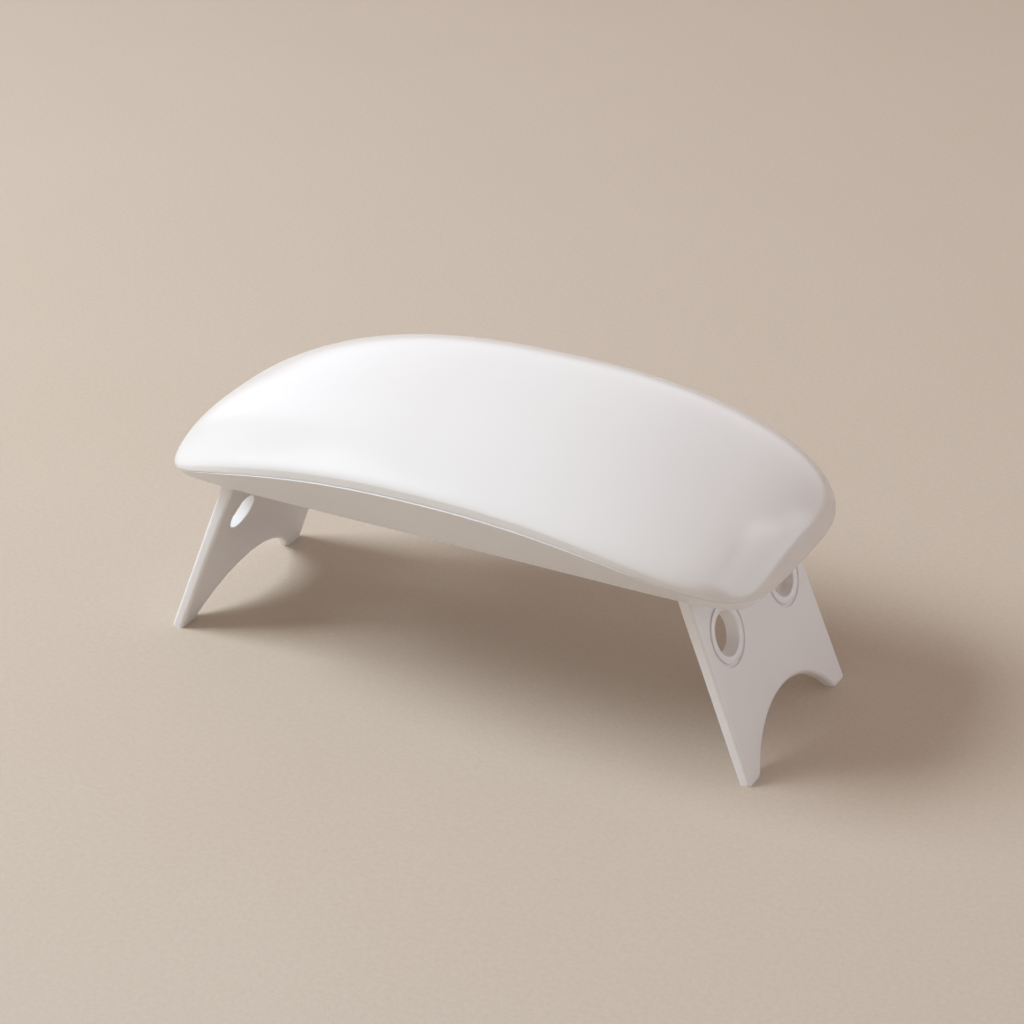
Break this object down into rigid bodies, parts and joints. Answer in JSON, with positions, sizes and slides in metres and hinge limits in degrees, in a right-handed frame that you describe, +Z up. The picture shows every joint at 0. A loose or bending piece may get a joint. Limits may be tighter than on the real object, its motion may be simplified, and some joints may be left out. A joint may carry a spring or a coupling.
{
  "type": "uv nail lamp",
  "caption": "Pocket UV lamp for curing nail polish: domed white case on fold-in arched legs, lamps and button beneath, power inlet at the rear.",
  "frame": {"origin": "on the table, at the middle of the four feet", "axes": "+X along the lamp towards the right leg, +Y to the rear where the power inlet is, +Z up"},
  "size_m": [0.1362, 0.0686, 0.0631],
  "materials": {
    "cover_plastic": "glossy, smooth moulded",
    "case_plastic": "satin, smooth moulded",
    "leg_plastic": "satin, smooth moulded",
    "button_plastic": "glossy",
    "steel": "plated",
    "reflector": "metallised, bright",
    "board": "white solder mask",
    "lens": "clear, faintly yellow resin",
    "black_plastic": "matt",
    "ceramic": "matt ceramic",
    "capacitor_can": "satin"
  },
  "bodies": {
    "case": {"top_cover": "cover_plastic", "base_case": "case_plastic", "right_hinge_pin": "steel", "left_hinge_pin": "steel", "reflector_plate": "reflector", "circuit_board": "board", "tact_switch": "black_plastic", "usb_socket": "steel", "usb_tongue": "black_plastic", "timer_chip": "black_plastic", "driver_chip": "black_plastic", "power_inductor": "black_plastic", "storage_capacitor": "capacitor_can", "input_diode": "black_plastic", "uv_led_1": "lens", "uv_led_2": "lens", "uv_led_3": "lens", "uv_led_4": "lens", "uv_led_5": "lens", "uv_led_6": "lens", "lamp_resistor_1": "black_plastic", "lamp_resistor_2": "black_plastic", "lamp_resistor_3": "black_plastic", "lamp_resistor_4": "black_plastic", "lamp_resistor_5": "black_plastic", "lamp_resistor_6": "black_plastic", "chip_capacitor_1": "ceramic", "chip_capacitor_2": "ceramic", "chip_capacitor_3": "ceramic", "chip_capacitor_4": "ceramic", "case_screw_1": "steel", "case_screw_2": "steel", "case_screw_3": "steel", "case_screw_4": "steel", "board_screw_1": "steel", "board_screw_2": "steel", "board_screw_3": "steel", "board_screw_4": "steel"},
    "right_leg": {"right_leg": "leg_plastic"},
    "left_leg": {"left_leg": "leg_plastic"},
    "button": {"power_button": "button_plastic", "switch_plunger": "black_plastic"}
  },
  "joints": [
    {"name": "right_leg_fold", "type": "hinge", "parent": "case", "child": "right_leg", "pos_m": [0.0495, 0, 0.0405], "axis": [0, 1, 0], "range_deg": [0, 112.1]},
    {"name": "left_leg_fold", "type": "hinge", "parent": "case", "child": "left_leg", "pos_m": [-0.0495, 0, 0.0405], "axis": [0, -1, 0], "range_deg": [0, 112.1]},
    {"name": "power_button_press", "type": "slide", "parent": "case", "child": "button", "axis": [0, 0, 1], "range_m": [0, 0.0004], "stiffness_N_per_m": 250}
  ]
}
